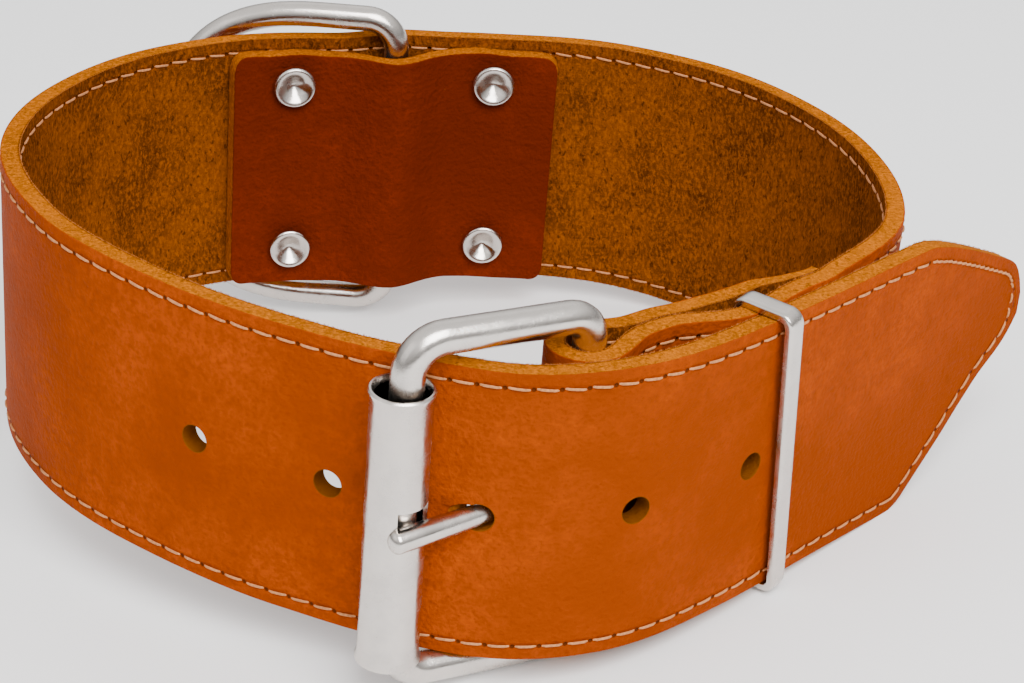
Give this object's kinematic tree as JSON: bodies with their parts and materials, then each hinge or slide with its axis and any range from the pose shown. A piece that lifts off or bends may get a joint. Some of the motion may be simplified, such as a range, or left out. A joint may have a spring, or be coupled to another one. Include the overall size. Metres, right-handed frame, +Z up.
{
  "type": "pet collar",
  "caption": "Buckled wide leather pet collar with a roller buckle, wire keeper, five tongue holes, pointed tail and a riveted lead ring.",
  "frame": {"origin": "centre of the collar's footprint, at the height of the surface it rests on", "axes": "+Z up, -Y towards the buckle side, +X towards the side where the tail points"},
  "size_m": [0.1612, 0.1313, 0.0582],
  "materials": {
    "orange_leather": "satin",
    "red_brown_leather": "matt",
    "nickel": "satin"
  },
  "bodies": {
    "collar": {"strap": "orange_leather", "patch": "red_brown_leather", "rivet_1": "nickel", "rivet_2": "nickel", "rivet_3": "nickel", "rivet_4": "nickel", "buckle_frame": "nickel", "roller": "nickel", "tongue": "nickel", "keeper": "nickel"},
    "ring": {"lead_ring": "nickel"}
  },
  "joints": [
    {"name": "ring_swing", "type": "hinge", "parent": "collar", "child": "ring", "pos_m": [-0.02264, 0.05598, 0.02797], "axis": [-0.0908, -0.0065, -0.9958], "range_deg": [0, 150]}
  ]
}
